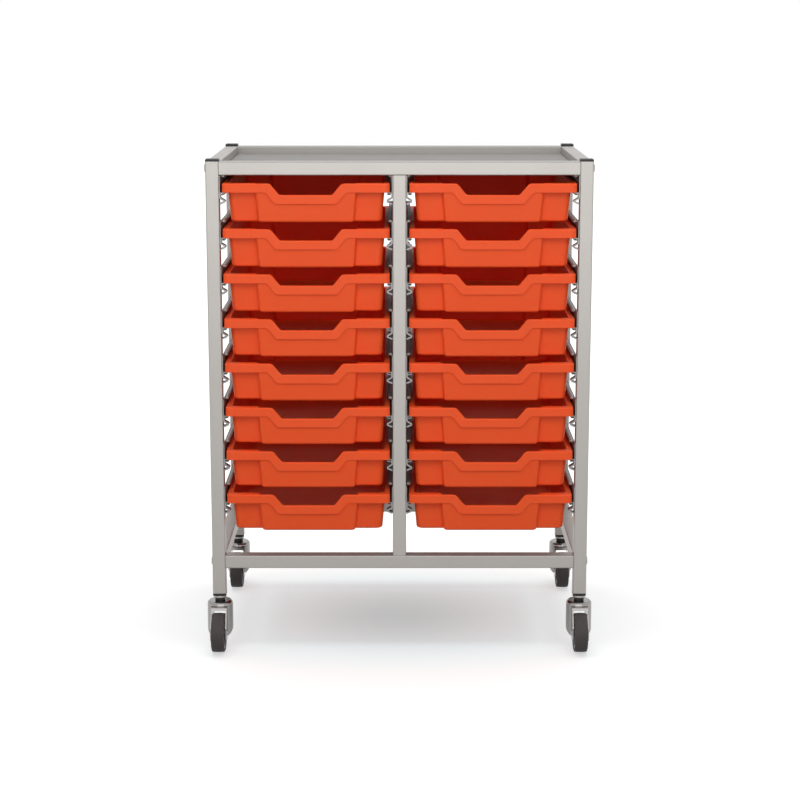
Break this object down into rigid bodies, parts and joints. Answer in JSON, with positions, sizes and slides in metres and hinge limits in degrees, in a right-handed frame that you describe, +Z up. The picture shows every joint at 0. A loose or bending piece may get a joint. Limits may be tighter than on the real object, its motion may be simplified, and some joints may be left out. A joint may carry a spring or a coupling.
{
  "type": "classroom tray storage unit",
  "caption": "Mobile open tray unit: square-tube steel frame with a recessed sheet top, two columns of shallow sliding plastic trays on pressed-steel runners, on swivel castors.",
  "frame": {"origin": "on the floor, in the middle of the overall box", "axes": "+X to the unit's right-hand side as the pictured front is faced, the front faces -Y, +Z up"},
  "size_m": [0.7462, 0.5028, 0.9467],
  "materials": {
    "frame_paint": "satin light warm-grey powder coat",
    "runner_steel": "satin light grey powder coat on pressed steel",
    "frame_bolt": "domed bolt heads coated as the frame",
    "tray_plastic": "semi-gloss orange moulded plastic with a fine surface grain",
    "black_plastic": "satin black moulded plastic",
    "chrome": "bright chrome plate",
    "hub_plastic": "bluish grey moulded plastic",
    "rubber": "dark grey-brown rubber tread"
  },
  "bodies": {
    "frame": {"post_front_left": "frame_paint", "post_front_centre": "frame_paint", "post_front_right": "frame_paint", "post_rear_left": "frame_paint", "post_rear_centre": "frame_paint", "post_rear_right": "frame_paint", "rail_bottom_front": "frame_paint", "rail_bottom_rear": "frame_paint", "rail_bottom_left": "frame_paint", "rail_bottom_right": "frame_paint", "rail_top_front": "frame_paint", "rail_top_rear": "frame_paint", "rail_top_left": "frame_paint", "rail_top_right": "frame_paint", "top_pan": "frame_paint", "post_caps": "black_plastic", "post_plugs": "black_plastic", "frame_bolts": "frame_bolt", "rail_inserts": "black_plastic", "runners_left_outer": "runner_steel", "runners_left_inner": "runner_steel", "runners_right_inner": "runner_steel", "runners_right_outer": "runner_steel", "castor_stems": "chrome", "castor_seals": "black_plastic"},
    "tray_left_1": {"tray_left_1": "tray_plastic"},
    "tray_left_2": {"tray_left_2": "tray_plastic"},
    "tray_left_3": {"tray_left_3": "tray_plastic"},
    "tray_left_4": {"tray_left_4": "tray_plastic"},
    "tray_left_5": {"tray_left_5": "tray_plastic"},
    "tray_left_6": {"tray_left_6": "tray_plastic"},
    "tray_left_7": {"tray_left_7": "tray_plastic"},
    "tray_left_8": {"tray_left_8": "tray_plastic"},
    "tray_right_1": {"tray_right_1": "tray_plastic"},
    "tray_right_2": {"tray_right_2": "tray_plastic"},
    "tray_right_3": {"tray_right_3": "tray_plastic"},
    "tray_right_4": {"tray_right_4": "tray_plastic"},
    "tray_right_5": {"tray_right_5": "tray_plastic"},
    "tray_right_6": {"tray_right_6": "tray_plastic"},
    "tray_right_7": {"tray_right_7": "tray_plastic"},
    "tray_right_8": {"tray_right_8": "tray_plastic"},
    "fork_front_left": {"castor_fork_front_left": "chrome", "castor_axle_front_left": "chrome"},
    "wheel_front_left": {"castor_hub_front_left": "hub_plastic", "castor_tyre_front_left": "rubber"},
    "fork_front_right": {"castor_fork_front_right": "chrome", "castor_axle_front_right": "chrome"},
    "wheel_front_right": {"castor_hub_front_right": "hub_plastic", "castor_tyre_front_right": "rubber"},
    "fork_rear_left": {"castor_fork_rear_left": "chrome", "castor_axle_rear_left": "chrome"},
    "wheel_rear_left": {"castor_hub_rear_left": "hub_plastic", "castor_tyre_rear_left": "rubber"},
    "fork_rear_right": {"castor_fork_rear_right": "chrome", "castor_axle_rear_right": "chrome"},
    "wheel_rear_right": {"castor_hub_rear_right": "hub_plastic", "castor_tyre_rear_right": "rubber"}
  },
  "joints": [
    {"name": "tray_left_1_slide", "type": "slide", "parent": "frame", "child": "tray_left_1", "axis": [0, -1, 0], "range_m": [0, 0.34]},
    {"name": "tray_left_2_slide", "type": "slide", "parent": "frame", "child": "tray_left_2", "axis": [0, -1, 0], "range_m": [0, 0.34]},
    {"name": "tray_left_3_slide", "type": "slide", "parent": "frame", "child": "tray_left_3", "axis": [0, -1, 0], "range_m": [0, 0.34]},
    {"name": "tray_left_4_slide", "type": "slide", "parent": "frame", "child": "tray_left_4", "axis": [0, -1, 0], "range_m": [0, 0.34]},
    {"name": "tray_left_5_slide", "type": "slide", "parent": "frame", "child": "tray_left_5", "axis": [0, -1, 0], "range_m": [0, 0.34]},
    {"name": "tray_left_6_slide", "type": "slide", "parent": "frame", "child": "tray_left_6", "axis": [0, -1, 0], "range_m": [0, 0.34]},
    {"name": "tray_left_7_slide", "type": "slide", "parent": "frame", "child": "tray_left_7", "axis": [0, -1, 0], "range_m": [0, 0.34]},
    {"name": "tray_left_8_slide", "type": "slide", "parent": "frame", "child": "tray_left_8", "axis": [0, -1, 0], "range_m": [0, 0.34]},
    {"name": "tray_right_1_slide", "type": "slide", "parent": "frame", "child": "tray_right_1", "axis": [0, -1, 0], "range_m": [0, 0.34]},
    {"name": "tray_right_2_slide", "type": "slide", "parent": "frame", "child": "tray_right_2", "axis": [0, -1, 0], "range_m": [0, 0.34]},
    {"name": "tray_right_3_slide", "type": "slide", "parent": "frame", "child": "tray_right_3", "axis": [0, -1, 0], "range_m": [0, 0.34]},
    {"name": "tray_right_4_slide", "type": "slide", "parent": "frame", "child": "tray_right_4", "axis": [0, -1, 0], "range_m": [0, 0.34]},
    {"name": "tray_right_5_slide", "type": "slide", "parent": "frame", "child": "tray_right_5", "axis": [0, -1, 0], "range_m": [0, 0.34]},
    {"name": "tray_right_6_slide", "type": "slide", "parent": "frame", "child": "tray_right_6", "axis": [0, -1, 0], "range_m": [0, 0.34]},
    {"name": "tray_right_7_slide", "type": "slide", "parent": "frame", "child": "tray_right_7", "axis": [0, -1, 0], "range_m": [0, 0.34]},
    {"name": "tray_right_8_slide", "type": "slide", "parent": "frame", "child": "tray_right_8", "axis": [0, -1, 0], "range_m": [0, 0.34]},
    {"name": "swivel_front_left", "type": "hinge", "parent": "frame", "child": "fork_front_left", "pos_m": [-0.3484, -0.17792, 0.085], "axis": [0, 0, 1], "continuous": true},
    {"name": "wheel_spin_front_left", "type": "hinge", "parent": "fork_front_left", "child": "wheel_front_left", "pos_m": [-0.3484, -0.21393, 0.0375], "axis": [1, 0, 0], "continuous": true},
    {"name": "swivel_front_right", "type": "hinge", "parent": "frame", "child": "fork_front_right", "pos_m": [0.3484, -0.17792, 0.085], "axis": [0, 0, 1], "continuous": true},
    {"name": "wheel_spin_front_right", "type": "hinge", "parent": "fork_front_right", "child": "wheel_front_right", "pos_m": [0.3484, -0.21393, 0.0375], "axis": [1, 0, 0], "continuous": true},
    {"name": "swivel_rear_left", "type": "hinge", "parent": "frame", "child": "fork_rear_left", "pos_m": [-0.3484, 0.22667, 0.085], "axis": [0, 0, 1], "continuous": true},
    {"name": "wheel_spin_rear_left", "type": "hinge", "parent": "fork_rear_left", "child": "wheel_rear_left", "pos_m": [-0.3484, 0.19068, 0.0375], "axis": [1, 0, 0], "continuous": true},
    {"name": "swivel_rear_right", "type": "hinge", "parent": "frame", "child": "fork_rear_right", "pos_m": [0.3484, 0.22667, 0.085], "axis": [0, 0, 1], "continuous": true},
    {"name": "wheel_spin_rear_right", "type": "hinge", "parent": "fork_rear_right", "child": "wheel_rear_right", "pos_m": [0.3484, 0.19068, 0.0375], "axis": [1, 0, 0], "continuous": true}
  ]
}
